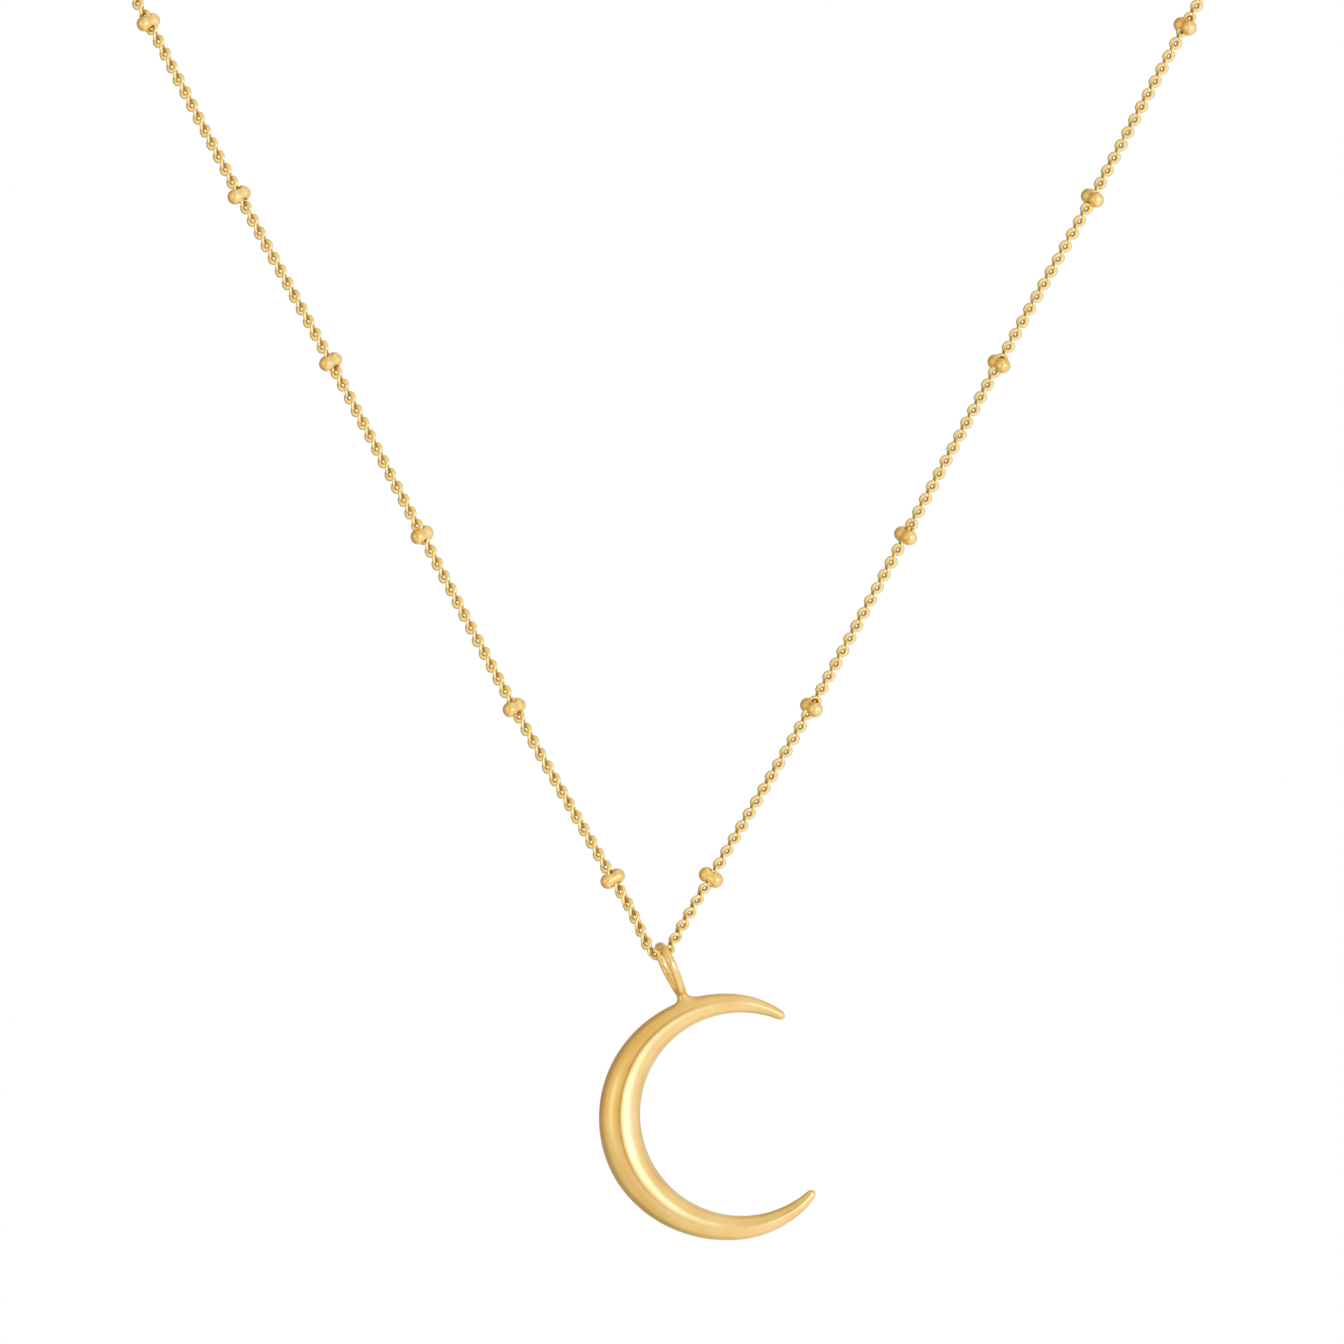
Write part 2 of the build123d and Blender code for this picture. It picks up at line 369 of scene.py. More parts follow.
class Shells:
    """Closed surfaces gathered for one mesh."""

    def __init__(self):
        self.points = []
        self.faces = []
        self.count = 0

    def tube(self, rings, closed_rows):
        """A tube through the rings, shaped (rings, sides, 3). It joins up into a loop, or each end is
        closed by triangles to its ring's middle. Faces are turned where they would point inwards."""
        rows, sides = rings.shape[:2]
        points = rings.reshape(-1, 3)
        faces = [grid_faces(rows, sides, closed_rows)]
        if not closed_rows:
            ring = np.arange(sides)
            after = np.roll(ring, -1)
            low = np.stack([after, ring, np.full(sides, len(points))], axis=1)
            last = (rows - 1) * sides
            high = np.stack([last + ring, last + after, np.full(sides, len(points) + 1)], axis=1)
            points = np.concatenate([points, rings[[0, -1]].mean(axis=1)])
            faces += [low, high]
        if sum(enclosed_volume(points - points.mean(axis=0), f) for f in faces) < 0:
            faces = [f[:, ::-1] for f in faces]
        self.points.append(points)
        for part in faces:
            self.faces += (part + self.count).tolist()
        self.count += len(points)

    def repeated(self, shapes):
        """Many like closed loops of rings, shaped (shapes, rings, sides, 3)."""
        count, rows, sides = shapes.shape[:3]
        faces = grid_faces(rows, sides, True)
        if enclosed_volume(shapes[0].reshape(-1, 3) - shapes[0].mean(axis=(0, 1)), faces) < 0:
            faces = faces[:, ::-1]
        every = faces[None] + np.arange(count)[:, None, None] * rows * sides + self.count
        self.points.append(shapes.reshape(-1, 3))
        self.faces += every.reshape(-1, 4).tolist()
        self.count += count * rows * sides

    def piece(self, name, material, body, slot, *nodes, hollow=None):
        """The mesh as a smooth-shaded object that rides on its body and stands for its nodes. A hollow
        share for every point, where given, is kept as an attribute, which places painted shade."""
        mesh = bpy.data.meshes.new(name)
        mesh.from_pydata(np.concatenate(self.points).tolist(), [], self.faces)
        if hollow is not None:
            mesh.attributes.new("hollow", "FLOAT", "POINT").data.foreach_set("value", hollow)
        mesh.materials.append(material)
        mesh.shade_smooth()
        made = bpy.data.objects.new(name, mesh)
        bpy.context.scene.collection.objects.link(made)
        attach(made, body)
        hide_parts(*nodes)


# The pendant


def hinge_point():
    """The middle of the pendant's swing, in the middle plane."""
    return np.array(frame["joints"][0]["pos_m"], float)


def chain_bottom():
    """The middle of the chain's lowest run, where its two sides meet."""
    return np.array([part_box("chain_left")[1].x, *hinge_point()[1:]])


def in_plane(angle):
    """The direction in the crescent's plane at an angle from the middle of its opening."""
    turned = angle + sizes_of("pendant_sizes").opening_tilt
    return np.stack([np.cos(turned), np.zeros_like(turned), np.sin(turned)], axis=-1)


def hollow_edge(angle):
    """How far the hollow's edge lies from the crescent's centre: along the ray at that angle, to a
    circle whose centre is moved towards the opening."""
    sizes = sizes_of("pendant_sizes")
    along = sizes.hollow_offset * np.cos(angle)
    aside = sizes.hollow_offset * np.sin(angle)
    return along + np.sqrt(sizes.hollow_radius**2 - aside**2)


def crescent_surface(angle, around):
    """Points of the crescent from its centre. The section at that angle is an oval that starts at the
    hollow's edge. Its outer edge is at around = 0, and its front is a quarter turn on."""
    sizes = sizes_of("pendant_sizes")
    degrees = np.degrees(angle)
    width = sizes.width * smooth_through(CRESCENT_SECTIONS[:, 0], CRESCENT_SECTIONS[:, 1], degrees)
    depth = sizes.depth * smooth_through(CRESCENT_SECTIONS[:, 0], CRESCENT_SECTIONS[:, 2], degrees)
    outward = in_plane(angle)
    middle = hollow_edge(angle) + width / 2
    across = middle + width / 2 * np.cos(around)
    forward = depth / 2 * np.sin(around)
    return outward * across[..., None] + FORWARD * forward[..., None]


def crescent_rings(rows, sides):
    """The whole crescent as rings. Near a tip each ring shrinks towards its own middle, as the edge of
    a rounded end does."""
    sizes = sizes_of("pendant_sizes")
    first, last = np.radians(CRESCENT_SECTIONS[[0, -1], 0])
    spread = 0.5 - 0.5 * np.cos(np.linspace(0.0, math.pi, rows))
    angle, around = np.meshgrid(
        first + (last - first) * spread,
        full_turn(sides),
        indexing="ij",
    )
    rings = crescent_surface(angle, around)
    middle = rings.mean(axis=1, keepdims=True)
    from_tip = np.minimum(angle[:, 0] - first, last - angle[:, 0]) * sizes.hollow_radius
    inside = np.clip(1 - from_tip / sizes.tip_length, 0, 1)
    full = np.maximum(np.sqrt(1 - inside**2), TIP_END)
    return middle + (rings - middle) * full[:, None, None]


def bail_directions():
    """The bail's upward direction, the direction along its hole, and the one from front to back."""
    sizes = sizes_of("pendant_sizes")
    lean = sizes.bail_lean
    upward = np.array([-math.sin(lean), 0.0, math.cos(lean)])
    sideways = np.array([math.cos(lean), 0.0, math.sin(lean)])
    backward = -FORWARD * math.cos(sizes.bail_turn) - sideways * math.sin(sizes.bail_turn)
    return upward, sideways, backward


def bail_foot():
    """Where the bail stands on the crescent's outer edge, from the crescent's centre."""
    return crescent_surface(np.array([sizes_of("pendant_sizes").foot_angle]), np.zeros(1))[0]


def crescent_centre():
    """The crescent's centre, placed so that the chain's lowest run lies under the bail's top."""
    sizes = sizes_of("pendant_sizes")
    upward, sideways, _ = bail_directions()
    seat = sizes.wire_thickness + sizes.seat_gap + sizes.chain_width / 2
    hanging = bail_foot() + upward * (sizes.bail_height - seat) - sideways * sizes.sidestep
    return chain_bottom() - hanging


def bail_rings(sides):
    """The loop: an oval wire carried round two arcs, a large one above and a small one below, and the
    straight lines that touch both."""
    sizes = sizes_of("pendant_sizes")
    upward, _, backward = bail_directions()
    normal = np.cross(backward, upward)
    high_radius = (sizes.bail_depth - sizes.wire_thickness) / 2
    high = sizes.bail_height - sizes.bail_depth / 2
    low_radius = sizes.loop_foot_radius
    low = sizes.neck_height + low_radius
    spread = math.asin((high_radius - low_radius) / (high - low))
    top_points, foot_points, side_points = BAIL_POINTS
    over = np.linspace(-spread, math.pi + spread, top_points)
    under = np.linspace(math.pi + spread, 2 * math.pi - spread, foot_points)
    high_arc = np.stack([high_radius * np.cos(over), high + high_radius * np.sin(over)], axis=1)
    low_arc = np.stack([low_radius * np.cos(under), low + low_radius * np.sin(under)], axis=1)
    steps = np.linspace(0.0, 1.0, side_points)[1:-1, None]
    down = high_arc[-1] + (low_arc[0] - high_arc[-1]) * steps
    back_up = low_arc[-1] + (high_arc[0] - low_arc[-1]) * steps
    flat = np.concatenate([high_arc, down, low_arc, back_up])
    along = unit(np.roll(flat, -1, axis=0) - np.roll(flat, 1, axis=0))
    line = backward * flat[:, :1] + upward * flat[:, 1:]
    out = backward * along[:, 1:] - upward * along[:, :1]
    around = full_turn(sides)[None, :, None]
    wire = out[:, None] * (sizes.wire_thickness / 2 * np.cos(around))
    wire = wire + normal * (sizes.wire_width / 2 * np.sin(around))
    return bail_foot() + line[:, None] + wire


def collar_rings(rows, sides):
    """The collar between bail and crescent. Curves leave the crescent's surface along it and reach the
    round neck upright: cubics with given ends and slopes. A dome closes the neck inside the loop."""
    sizes = sizes_of("pendant_sizes")
    upward, sideways, _ = bail_directions()
    foot = bail_foot()
    around = full_turn(sides)
    right_share = 0.5 + 0.5 * np.cos(around)
    reach = sizes.collar_left + (sizes.collar_right - sizes.collar_left) * right_share

    def on_crescent(share):
        """The ring on the crescent's surface at that share of the collar's reach."""
        angle = sizes.foot_angle - reach / np.linalg.norm(foot) * share * np.cos(around)
        return crescent_surface(angle, sizes.collar_turn * share * np.sin(around))

    def above(height, share):
        """A level ring over the foot, with that share of the neck's radius."""
        ring = sideways * np.cos(around)[:, None] + FORWARD * np.sin(around)[:, None]
        return foot + upward * height + ring * sizes.neck_radius * share

    edge = on_crescent(1.0)
    just_inside = on_crescent(0.97)
    inwards = unit(just_inside - edge)
    neck_top = sizes.neck_height * COLLAR_TOP
    neck = above(neck_top, 1.0)
    gap = np.linalg.norm(neck - edge, axis=1, keepdims=True)
    t = np.linspace(0.0, 1.0, rows)[:, None, None]
    leave = inwards * gap * COLLAR_LEAVE
    arrive = upward * gap * COLLAR_ARRIVE
    rings = (
        (2 * t**3 - 3 * t**2 + 1) * edge
        + (t**3 - 2 * t**2 + t) * leave
        + (3 * t**2 - 2 * t**3) * neck
        + (t**3 - t**2) * arrive
    )
    hidden = foot * COLLAR_SUNK + (edge - foot) * COLLAR_DRAWN_IN
    dome = [
        above(neck_top + sizes.neck_radius * math.sin(turn) * DOME_HEIGHT, math.cos(turn))
        for turn in DOME_RINGS
    ]
    return np.concatenate([hidden[None], rings, dome])


class OBJECT_OT_crescent_pendant(bpy.types.Operator):
    """Make the cast pendant: crescent, bail and the collar between them"""

    bl_idname = "object.crescent_pendant"
    bl_label = "Crescent pendant"

    def execute(self, context):
        shells = Shells()
        centre = crescent_centre()
        shells.tube(centre + crescent_rings(rows=240, sides=64), False)
        shells.tube(centre + bail_rings(sides=24), True)
        shells.tube(centre + collar_rings(rows=22, sides=48), False)
        shells.piece("pendant_gold", cast_gold(), "pendant", "pendant", "crescent_pendant")
        return {"FINISHED"}


# The chain and its beads


def node_middle(node):
    """The middle of a node's box."""
    low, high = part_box(node)
    return (np.array(low) + np.array(high)) / 2


def bead_names(side):
    """The bead nodes of one side, from the bail up."""
    return sorted(name for name in frame["nodes"] if name.startswith(f"bead_{side}"))


def ring_wire(side):
    """Where the chain's end link goes round the ring beside the clasp: the middle of its wire."""
    clasp = sizes_of("clasp_sizes")
    if side == "left":
        return np.array([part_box("clasp_ring")[0].x + clasp.left_wire / 2, 0.0, 0.0])
    return np.array([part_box("end_ring")[1].x - clasp.right_wire / 2, 0.0, 0.0])


def strand(side):
    """The line of one side of the chain as close points, from its middle under the bail to the ring
    beside the clasp. It bends out of the level run on a parabola, runs nearly straight to the knee, and
    goes through the beads on a smooth curve."""
    sizes = sizes_of("chain_sizes")
    lowest = chain_bottom()
    beads = np.array([node_middle(name) for name in bead_names(side)])
    sign = np.sign(beads[0, 0] - lowest[0])
    corner = lowest + np.array([sign * sizes.bottom_run / 2, 0.0, 0.0])
    knee = np.array([sign * sizes.knee_side, lowest[1], lowest[2] + sizes.knee_rise])
    towards = unit(knee - corner)
    t = np.linspace(0.0, 1.0, BEND_POINTS)[:, None]
    bend = (1 - t) ** 2 * lowest + 2 * t * (1 - t) * corner + t**2 * (corner + towards * sizes.bend)
    marks = np.concatenate([bend[-1:], [(corner + knee) / 2, knee], beads, ring_wire(side)[None]])
    run = distances_along(marks)
    at = np.arange(0.0, run[-1], FINE_STEP)[1:]
    curve = np.stack([smooth_through(run, marks[:, k], at) for k in range(3)], axis=1)
    return np.concatenate([bend, curve, marks[-1:]])


def points_at(line, along):
    """Places and directions at those distances along a line of close points."""
    run = distances_along(line)

    def read(distance):
        """The line's places at those distances."""
        return np.stack([np.interp(distance, run, line[:, k]) for k in range(3)], axis=-1)

    return read(along), unit(read(along + FINE_STEP) - read(along - FINE_STEP))


def link_shapes(middles, along, across, lengths, width):
    """Links as loops of oval wire. The wire's line is a circle in the plane of along and across, whose
    two halves are moved apart along the link by a steep hyperbolic tangent."""
    sizes = sizes_of("chain_sizes")
    rows, sides = LINK_GRID
    turn = full_turn(rows)
    radius = (width - sizes.link_wire) / 2
    half_run = (lengths - width) / 2
    out_along = np.sin(turn)
    out_across = np.cos(turn)
    stretch = np.tanh(out_along * LINK_PARTING)
    line = (
        along[:, None] * (radius * out_along[None] + half_run[:, None] * stretch[None])[..., None]
        + across[:, None] * (radius * out_across)[None, :, None]
    )
    out = along[:, None] * out_along[None, :, None] + across[:, None] * out_across[None, :, None]
    normal = np.cross(along, across)
    around = full_turn(sides)
    oval_wire = (
        out[:, :, None] * (sizes.link_wire / 2 * np.cos(around))[None, None, :, None]
        + normal[:, None, None] * (sizes.link_side / 2 * np.sin(around))[None, None, :, None]
    )
    return middles[:, None, None] + line[:, :, None] + oval_wire


def chain_links(side):
    """All links of one side. Each next link is turned a quarter turn about the chain. The whole chain is
    twisted, less so above each of the two nearest beads, and its links lean over with it. A longer link
    goes round the ring beside the clasp."""
    sizes = sizes_of("chain_sizes")
    line = strand(side)
    whole = distances_along(line)[-1]
    first = sizes.first_link if side == "right" else sizes.link_pitch - sizes.first_link
    count = 1 + round((whole - sizes.end_link - first) / sizes.link_pitch)
    at = np.linspace(first, whole - sizes.end_link, count)
    edgeways = (np.arange(count) + (side == "right")) % 2 == 1
    place, along = points_at(line, at - sizes.sink * edgeways)
    beside = unit(np.cross(along, FORWARD))
    front = np.cross(beside, along)
    chance = np.random.default_rng(CHANCE_START[side])
    twists = [sizes.twist_low, sizes.twist_middle, sizes.twist_middle, sizes.twist_high]
    twist = np.interp(at / MM, TWIST_CHANGES, twists)
    hand = 1.0 if side == "left" else -1.0
    quarter = np.where(edgeways, 0.0, math.pi / 2)
    angle = hand * twist + quarter + sizes.looseness * chance.standard_normal(count)
    across = front * np.cos(angle)[:, None] + beside * np.sin(angle)[:, None]
    lean = np.interp(at / MM, TWIST_CHANGES[:2], [sizes.lean_low, sizes.lean_high])[:, None]
    upright = along * np.cos(lean) + hand * np.cross(along, across) * np.sin(lean)
    lengths = np.full(count, sizes.link_length)
    links = link_shapes(place, upright, across, lengths, sizes.link_width)

    ring = ring_wire(side)
    run = unit(ring - place[-1])
    reach = np.linalg.norm(ring - place[-1])
    standing = unit(UP - run * np.dot(UP, run))
    last = link_shapes(
        ((ring + place[-1]) / 2)[None],
        run[None],
        standing[None],
        np.array([reach + END_LINK_WIRES * sizes.link_wire]),
        sizes.link_width * END_LINK_WIDTH,
    )
    return np.concatenate([links, last])


def hollow_shade_mask(links):
    """How far each point of the links faces its link's hole, from 0 outside to 1 inside: half of one
    less the cosine of its angle round the wire. It masks the painted shade in each link's hollow."""
    around = full_turn(links.shape[2])
    return np.broadcast_to(0.5 - 0.5 * np.cos(around), links.shape[:3]).ravel()


class OBJECT_OT_chain_links(bpy.types.Operator):
    """Make the cable chain's links, one piece for each side"""

    bl_idname = "object.chain_links"
    bl_label = "Chain links"

    def execute(self, context):
        material = link_gold()
        for side in ("left", "right"):
            shells = Shells()
            links = chain_links(side)
            shells.repeated(links)
            # Where the links' painted shade falls, kept on the mesh as an attribute
            hollow = hollow_shade_mask(links)
            shells.piece(f"links_{side}", material, "necklace", "chain", f"chain_{side}", hollow=hollow)
        return {"FINISHED"}


def bead_shapes(side, rows, sides):
    """All beads of one side, each square to the chain, with one lobe turned forward. A bead is made of
    rings round its hole, from the lower mouth to the upper one. Its reach in each direction is the
    larger of two balls' beside its middle and of a flattened ball's round it, blended."""
    sizes = sizes_of("chain_sizes")
    middles = np.array([node_middle(name) for name in bead_names(side)])
    line = strand(side)
    nearest = np.linalg.norm(line[None] - middles[:, None], axis=2).argmin(axis=1)
    _, along = points_at(line, distances_along(line)[nearest])
    beside = unit(np.cross(along, FORWARD))
    front = np.cross(beside, along)
    turn = np.full(len(middles), sizes.bead_turn)
    turn[0] = sizes.first_turn
    hand = 1.0 if side == "right" else -1.0
    lobe = hand * beside * np.cos(turn)[:, None] + front * np.sin(turn)[:, None]
    groove = np.cross(along, lobe)

    around = full_turn(sides)[None]
    steep = np.linspace(-sizes.mouth, sizes.mouth, rows)[:, None]
    towards_lobe = np.abs(np.cos(steep) * np.cos(around))
    aside = sizes.lobe_reach**2 * (1 - towards_lobe**2)
    ball = sizes.lobe_reach * towards_lobe + np.sqrt(sizes.lobe_radius**2 - aside)
    waist = 1 / np.hypot(np.cos(steep) / sizes.waist_radius, 2 * np.sin(steep) / sizes.waist_length)
    radius = (ball**BEAD_BLEND + waist**BEAD_BLEND) ** (1 / BEAD_BLEND)
    out = radius * np.cos(steep)
    rise = radius * np.sin(steep)
    return (
        middles[:, None, None]
        + (out * np.cos(around))[None, ..., None] * lobe[:, None, None]
        + (out * np.sin(around))[None, ..., None] * groove[:, None, None]
        + rise[None, ..., None] * along[:, None, None]
    )


class OBJECT_OT_crimped_beads(bpy.types.Operator):
    """Make the beads, one piece for each side"""

    bl_idname = "object.crimped_beads"
    bl_label = "Crimped beads"

    def execute(self, context):
        material = bead_gold()
        for side in ("left", "right"):
            shells = Shells()
            shells.repeated(bead_shapes(side, rows=11, sides=32))
            shells.piece(f"beads_{side}", material, "necklace", "bead", *bead_names(side))
        return {"FINISHED"}


# The clasp


def round_ring(middle, radius, wire, across, rows=72, sides=20):
    """A ring of round wire: a circle in the plane of X and across, with a small circle round it."""
    turn = full_turn(rows)[:, None]
    around = full_turn(sides)[None]
    right = np.array([1.0, 0.0, 0.0])
    out = right * np.cos(turn)[..., None] + across * np.sin(turn)[..., None]
    normal = np.cross(right, across)
    reach = radius + wire / 2 * np.cos(around)
    return middle + out * reach[..., None] + normal * (wire / 2 * np.sin(around))[..., None]


class OBJECT_OT_clasp_rings(bpy.types.Operator):
    """Make the clasp and the two rings beside it"""

    bl_idname = "object.clasp_rings"
    bl_label = "Clasp and rings"

    def execute(self, context):
        sizes = sizes_of("clasp_sizes")
        material = bright_gold()
        left_edge = np.array([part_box("clasp")[0].x, 0.0, 0.0])
        loop_middle = left_edge + np.array([sizes.loop_radius + sizes.loop_wire / 2, 0.0, 0.0])
        shells = Shells()
        shells.tube(round_ring(np.zeros(3), sizes.clasp_radius, sizes.clasp_wire, UP), True)
        shells.tube(round_ring(loop_middle, sizes.loop_radius, sizes.loop_wire, UP), True)
        shells.piece("clasp_gold", material, "necklace", "clasp", "clasp")
        for node, radius, wire in (
            ("clasp_ring", sizes.left_radius, sizes.left_wire),
            ("end_ring", sizes.right_radius, sizes.right_wire),
        ):
            shells = Shells()
            shells.tube(round_ring(node_middle(node), radius, wire, FORWARD), True)
            shells.piece(f"{node}_gold", material, "necklace", "clasp", node)
        return {"FINISHED"}


# Gold


def noise_on_object(tree, scale, detail, stretch=(1.0, 1.0, 1.0)):
    """Soft noise on Object coordinates, with so many waves to a metre."""
    place = tree.nodes.new("ShaderNodeTexCoord")
    mapping = tree.nodes.new("ShaderNodeMapping")
    mapping.inputs["Scale"].default_value = stretch
    noise = tree.nodes.new("ShaderNodeTexNoise")
    noise.inputs["Scale"].default_value = scale
    noise.inputs["Detail"].default_value = detail
    tree.links.new(place.outputs["Object"], mapping.inputs["Vector"])
    tree.links.new(mapping.outputs["Vector"], noise.inputs["Vector"])
    return noise.outputs["Fac"]


def remap(tree, value, low, high, to_low=0.0, to_high=1.0):
    """A value taken from one range to another, and held inside it."""
    made = tree.nodes.new("ShaderNodeMapRange")
    made.inputs["From Min"].default_value = low
    made.inputs["From Max"].default_value = high
    made.inputs["To Min"].default_value = to_low
    made.inputs["To Max"].default_value = to_high
    tree.links.new(value, made.inputs["Value"])
    return made.outputs["Result"]


def mixed(tree, share, first, second):
    """The first colour at share 0, the second at share 1. Each is a colour or a node's output."""
    mix = tree.nodes.new("ShaderNodeMix")
    mix.data_type = "RGBA"
    tree.links.new(share, mix.inputs["Factor"])
    for key, value in (("A", first), ("B", second)):
        if isinstance(value, bpy.types.NodeSocket):
            tree.links.new(value, mix.inputs[key])
        else:
            mix.inputs[key].default_value = (*map(float, value), 1.0)
    return mix.outputs["Result"]


def bumped(tree, height, distance, normal=None):
    """The surface's normal, tilted as by bumps of that height, on top of an earlier one where given."""
    bump = tree.nodes.new("ShaderNodeBump")
    bump.inputs["Distance"].default_value = distance
    tree.links.new(height, bump.inputs["Height"])
    if normal is not None:
        tree.links.new(normal, bump.inputs["Normal"])
    return bump.outputs["Normal"]


def gold_material(
    name, colours, roughness, colour_scale, wave_scale, wave_height, scratch_height, shade=None
):
    """Polished gold. It goes from its first colour to its second in soft patches or, where one is
    named, as painted shade by an attribute of the mesh. Its roughness varies softly too. Low waves
    come from the casting or drawing, and fine short scratches from the polishing."""
    material = bpy.data.materials.new(name)
    material.use_nodes = True
    tree = material.node_tree
    shader = tree.nodes["Principled BSDF"]
    shader.inputs["Metallic"].default_value = 1.0
    if shade is None:
        share = remap(tree, noise_on_object(tree, colour_scale, detail=3.0), *PATCH_NOISE)
    else:
        # Painted shade: the attribute takes the surface to the second, darker colour
        facing = tree.nodes.new("ShaderNodeAttribute")
        facing.attribute_name = shade
        share = remap(tree, facing.outputs["Fac"], *HOLLOW_SHADE)
    tree.links.new(mixed(tree, share, *colours), shader.inputs["Base Color"])
    worn = noise_on_object(tree, colour_scale * WORN_FINENESS, detail=4.0)
    least, most = WORN_ROUGHNESS
    rough = remap(tree, worn, *WORN_NOISE, roughness * least, roughness * most)
    tree.links.new(rough, shader.inputs["Roughness"])
    waves = bumped(tree, noise_on_object(tree, wave_scale, detail=2.0), wave_height)
    scratches = noise_on_object(tree, SCRATCH_SCALE, detail=2.0, stretch=SCRATCH_STRETCH)
    tree.links.new(bumped(tree, scratches, scratch_height, waves), shader.inputs["Normal"])
    return material


def cast_gold():
    """The pendant's satin-polished casting."""
    finish = sizes_of("gold_finish")
    return gold_material(
        "cast_gold",
        (finish.deep, finish.colour),
        finish.satin,
        colour_scale=420.0,
        wave_scale=600.0,
        wave_height=0.006 * MM,
        scratch_height=0.0006 * MM,
    )


def bead_gold():
    """The beads' gold, brushed by tumbling."""
    finish = sizes_of("gold_finish")
    return gold_material(
        "bead_gold",
        (finish.bead_deep, finish.bead),
        finish.tumbled,
        colour_scale=900.0,
        wave_scale=1500.0,
        wave_height=0.008 * MM,
        scratch_height=0.001 * MM,
    )


def drawn_gold(name, colours, shade=None):
    """Gold wire, smooth from drawing."""
    return gold_material(
        name,
        colours,
        sizes_of("gold_finish").bright,
        colour_scale=700.0,
        wave_scale=2500.0,
        wave_height=0.004 * MM,
        scratch_height=0.0005 * MM,
        shade=shade,
    )


def bright_gold():
    """The clasp and its rings, bright all over."""
    finish = sizes_of("gold_finish")
    return drawn_gold("bright_gold", (finish.deep, finish.colour))


def link_gold():
    """The links' wire, bright outside, with painted shade darkening the hollow of each link."""
    finish = sizes_of("gold_finish")
    return drawn_gold("link_gold", (finish.wire_light, finish.wire_painted_shade), shade="hollow")


# The stage


def place_camera():
    """A long lens straight in front, aimed at the picture's middle and rolled a little. It is so long
    that the picture's width just fits at the pendant."""
    setting = sizes_of("studio_setting")
    camera = bpy.data.cameras.new("photo_camera")
    camera.sensor_width = 36.0
    camera.lens = camera.sensor_width * setting.camera_distance / setting.picture_width
    camera.clip_start = 0.01
    camera.clip_end = 100.0
    made = bpy.data.objects.new("photo_camera", camera)
    bpy.context.scene.collection.objects.link(made)
    aim = hinge_point() + np.array([setting.aim_side, 0.0, setting.aim_rise])
    eye = aim + FORWARD * setting.camera_distance
    right = np.array([math.cos(setting.roll), 0.0, math.sin(setting.roll)])
    upright = np.array([-math.sin(setting.roll), 0.0, math.cos(setting.roll)])
    turned = np.eye(4)
    turned[:3, :4] = np.stack([right, upright, FORWARD, eye], axis=1)
    made.matrix_world = Matrix(turned.tolist())
    bpy.context.scene.camera = made


def white_material():
    """Plain white that gives its own light, so it has no shadows on it."""
    material = bpy.data.materials.new("studio_white")
    material.use_nodes = True
    nodes = material.node_tree.nodes
    nodes.clear()
    light = nodes.new("ShaderNodeEmission")
    light.inputs["Strength"].default_value = 1.0
    out = nodes.new("ShaderNodeOutputMaterial")
    material.node_tree.links.new(light.outputs["Emission"], out.inputs["Surface"])
    return material


def build_room():
    """A plain white floor and wide walls round the object, which only the camera sees."""
    setting = sizes_of("studio_setting")
    room = setting.room
    low = -setting.floor_drop
    corners = np.array([(x, y, z) for x in (-room, room) for y in (-room, room) for z in (low, room)])
    faces = [(0, 4, 6, 2), (1, 3, 7, 5), (0, 1, 5, 4), (2, 6, 7, 3), (0, 2, 3, 1), (4, 5, 7, 6)]
    mesh = bpy.data.meshes.new("studio_room")
    mesh.from_pydata(corners.tolist(), [], faces)
    mesh.materials.append(white_material())
    made = bpy.data.objects.new("studio_room", mesh)
    bpy.context.scene.collection.objects.link(made)
    made.visible_glossy = False
    made.visible_diffuse = False
    made.visible_shadow = False


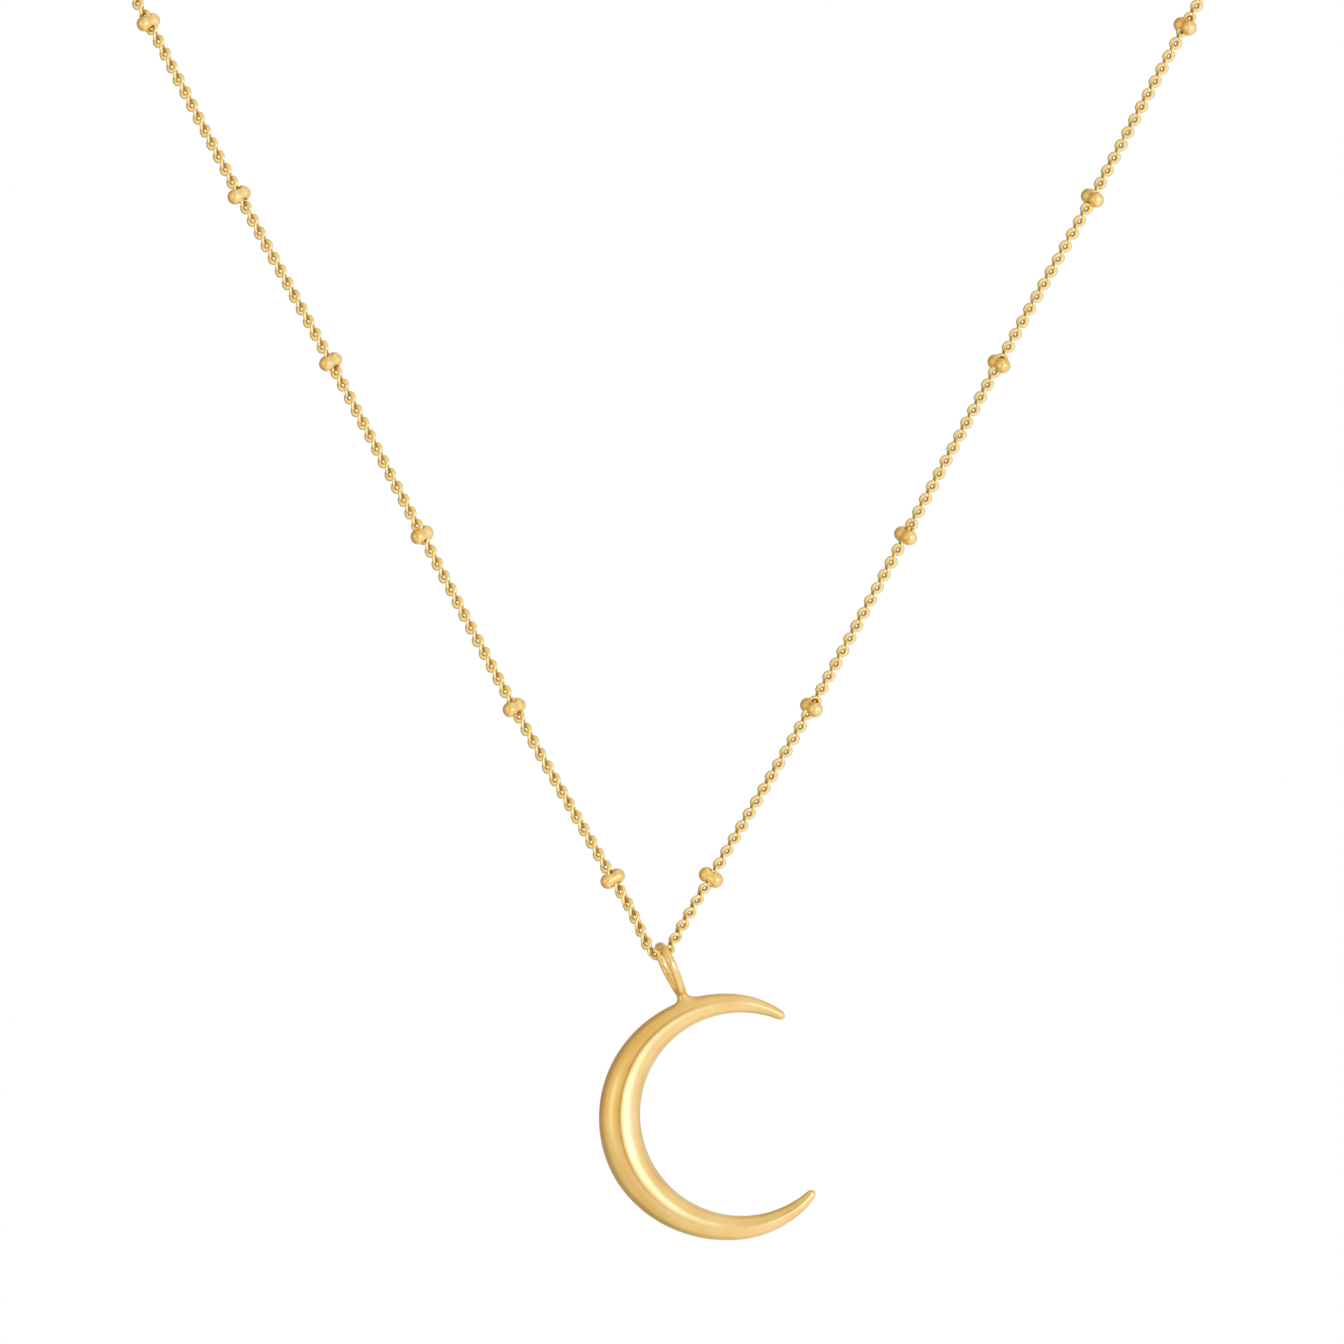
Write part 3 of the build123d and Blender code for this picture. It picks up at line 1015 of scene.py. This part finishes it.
def surroundings():
    """Light from all round, by direction. The angle from the camera to the right picks a colour from
    the table. Steep directions fade to the light above or below, which is dimmer behind the object.
    The camera itself sees plain white there."""
    world = bpy.data.worlds.new("studio_surroundings")
    world.use_nodes = True
    bpy.context.scene.world = world
    tree = world.node_tree
    nodes = tree.nodes
    links = tree.links
    nodes.clear()
    place = nodes.new("ShaderNodeTexCoord")
    split = nodes.new("ShaderNodeSeparateXYZ")
    links.new(place.outputs["Generated"], split.inputs["Vector"])
    towards = nodes.new("ShaderNodeMath")
    towards.operation = "MULTIPLY"
    towards.inputs[1].default_value = -1.0
    links.new(split.outputs["Y"], towards.inputs[0])
    angle = nodes.new("ShaderNodeMath")
    angle.operation = "ARCTAN2"
    links.new(split.outputs["X"], angle.inputs[0])
    links.new(towards.outputs["Value"], angle.inputs[1])
    ramp = nodes.new("ShaderNodeValToRGB")
    stops = ramp.color_ramp.elements
    for degrees, _, _ in SURROUNDINGS[1:-1]:
        stops.new((degrees + 180) / 360)
    for stop, (_, bright, tint) in zip(stops, SURROUNDINGS):
        stop.color = (*(bright * part for part in TINTS[tint]), 1.0)
    links.new(remap(tree, angle.outputs["Value"], -math.pi, math.pi), ramp.inputs["Fac"])
    colour = ramp.outputs["Color"]
    on_right = remap(tree, split.outputs["X"], *FADE_RIGHT)
    in_front = remap(tree, towards.outputs["Value"], *FADE_FRONT)
    for lights, fade in ((ABOVE, FADE_ABOVE), (BELOW, FADE_BELOW)):
        full = mixed(tree, on_right, *lights)
        dim = mixed(tree, on_right, *(np.multiply(*pair) for pair in zip(BEHIND, lights)))
        steep = remap(tree, split.outputs["Z"], *fade)
        colour = mixed(tree, steep, colour, mixed(tree, in_front, dim, full))
    path = nodes.new("ShaderNodeLightPath")
    colour = mixed(tree, path.outputs["Is Camera Ray"], colour, (1.0, 1.0, 1.0))
    light = nodes.new("ShaderNodeBackground")
    links.new(colour, light.inputs["Color"])
    out = nodes.new("ShaderNodeOutputWorld")
    links.new(light.outputs["Background"], out.inputs["Surface"])


class OBJECT_OT_pendant_stage(bpy.types.Operator):
    """Set up the camera, the white room and the light round the object"""

    bl_idname = "object.pendant_stage"
    bl_label = "Studio"

    def execute(self, context):
        place_camera()
        build_room()
        surroundings()
        context.scene.view_settings.view_transform = "Standard"
        return {"FINISHED"}


# The add-on

OPERATORS = (
    OBJECT_OT_crescent_pendant,
    OBJECT_OT_chain_links,
    OBJECT_OT_crimped_beads,
    OBJECT_OT_clasp_rings,
    OBJECT_OT_pendant_stage,
)
SETTINGS = {
    "pendant_sizes": PendantSizes,
    "chain_sizes": ChainSizes,
    "clasp_sizes": ClaspSizes,
    "gold_finish": GoldFinish,
    "studio_setting": StudioSetting,
}


class VIEW3D_PT_pendant(bpy.types.Panel):
    """Lists the pieces that can be made, and their settings."""

    bl_label = "Crescent moon pendant"
    bl_idname = "VIEW3D_PT_pendant"
    bl_space_type = "VIEW_3D"
    bl_region_type = "UI"
    bl_category = "Pendant"

    def draw(self, context):
        for operator in OPERATORS:
            self.layout.operator(operator.bl_idname)
        for name in SETTINGS:
            box = self.layout.box()
            group = getattr(context.scene, name)
            for key in group.__annotations__:
                box.prop(group, key)


def register():
    """Adds the settings, operators and panel to Blender."""
    for name, group in SETTINGS.items():
        bpy.utils.register_class(group)
        setattr(bpy.types.Scene, name, bpy.props.PointerProperty(type=group))
    for operator in OPERATORS:
        bpy.utils.register_class(operator)
    bpy.utils.register_class(VIEW3D_PT_pendant)


def unregister():
    """Takes them out again."""
    bpy.utils.unregister_class(VIEW3D_PT_pendant)
    for operator in reversed(OPERATORS):
        bpy.utils.unregister_class(operator)
    for name, group in SETTINGS.items():
        delattr(bpy.types.Scene, name)
        bpy.utils.unregister_class(group)


def main():
    """Makes every piece and the stage."""
    register()
    bpy.ops.object.crescent_pendant()
    bpy.ops.object.chain_links()
    bpy.ops.object.crimped_beads()
    bpy.ops.object.clasp_rings()
    bpy.ops.object.pendant_stage()


if __name__ == "__main__":
    main()
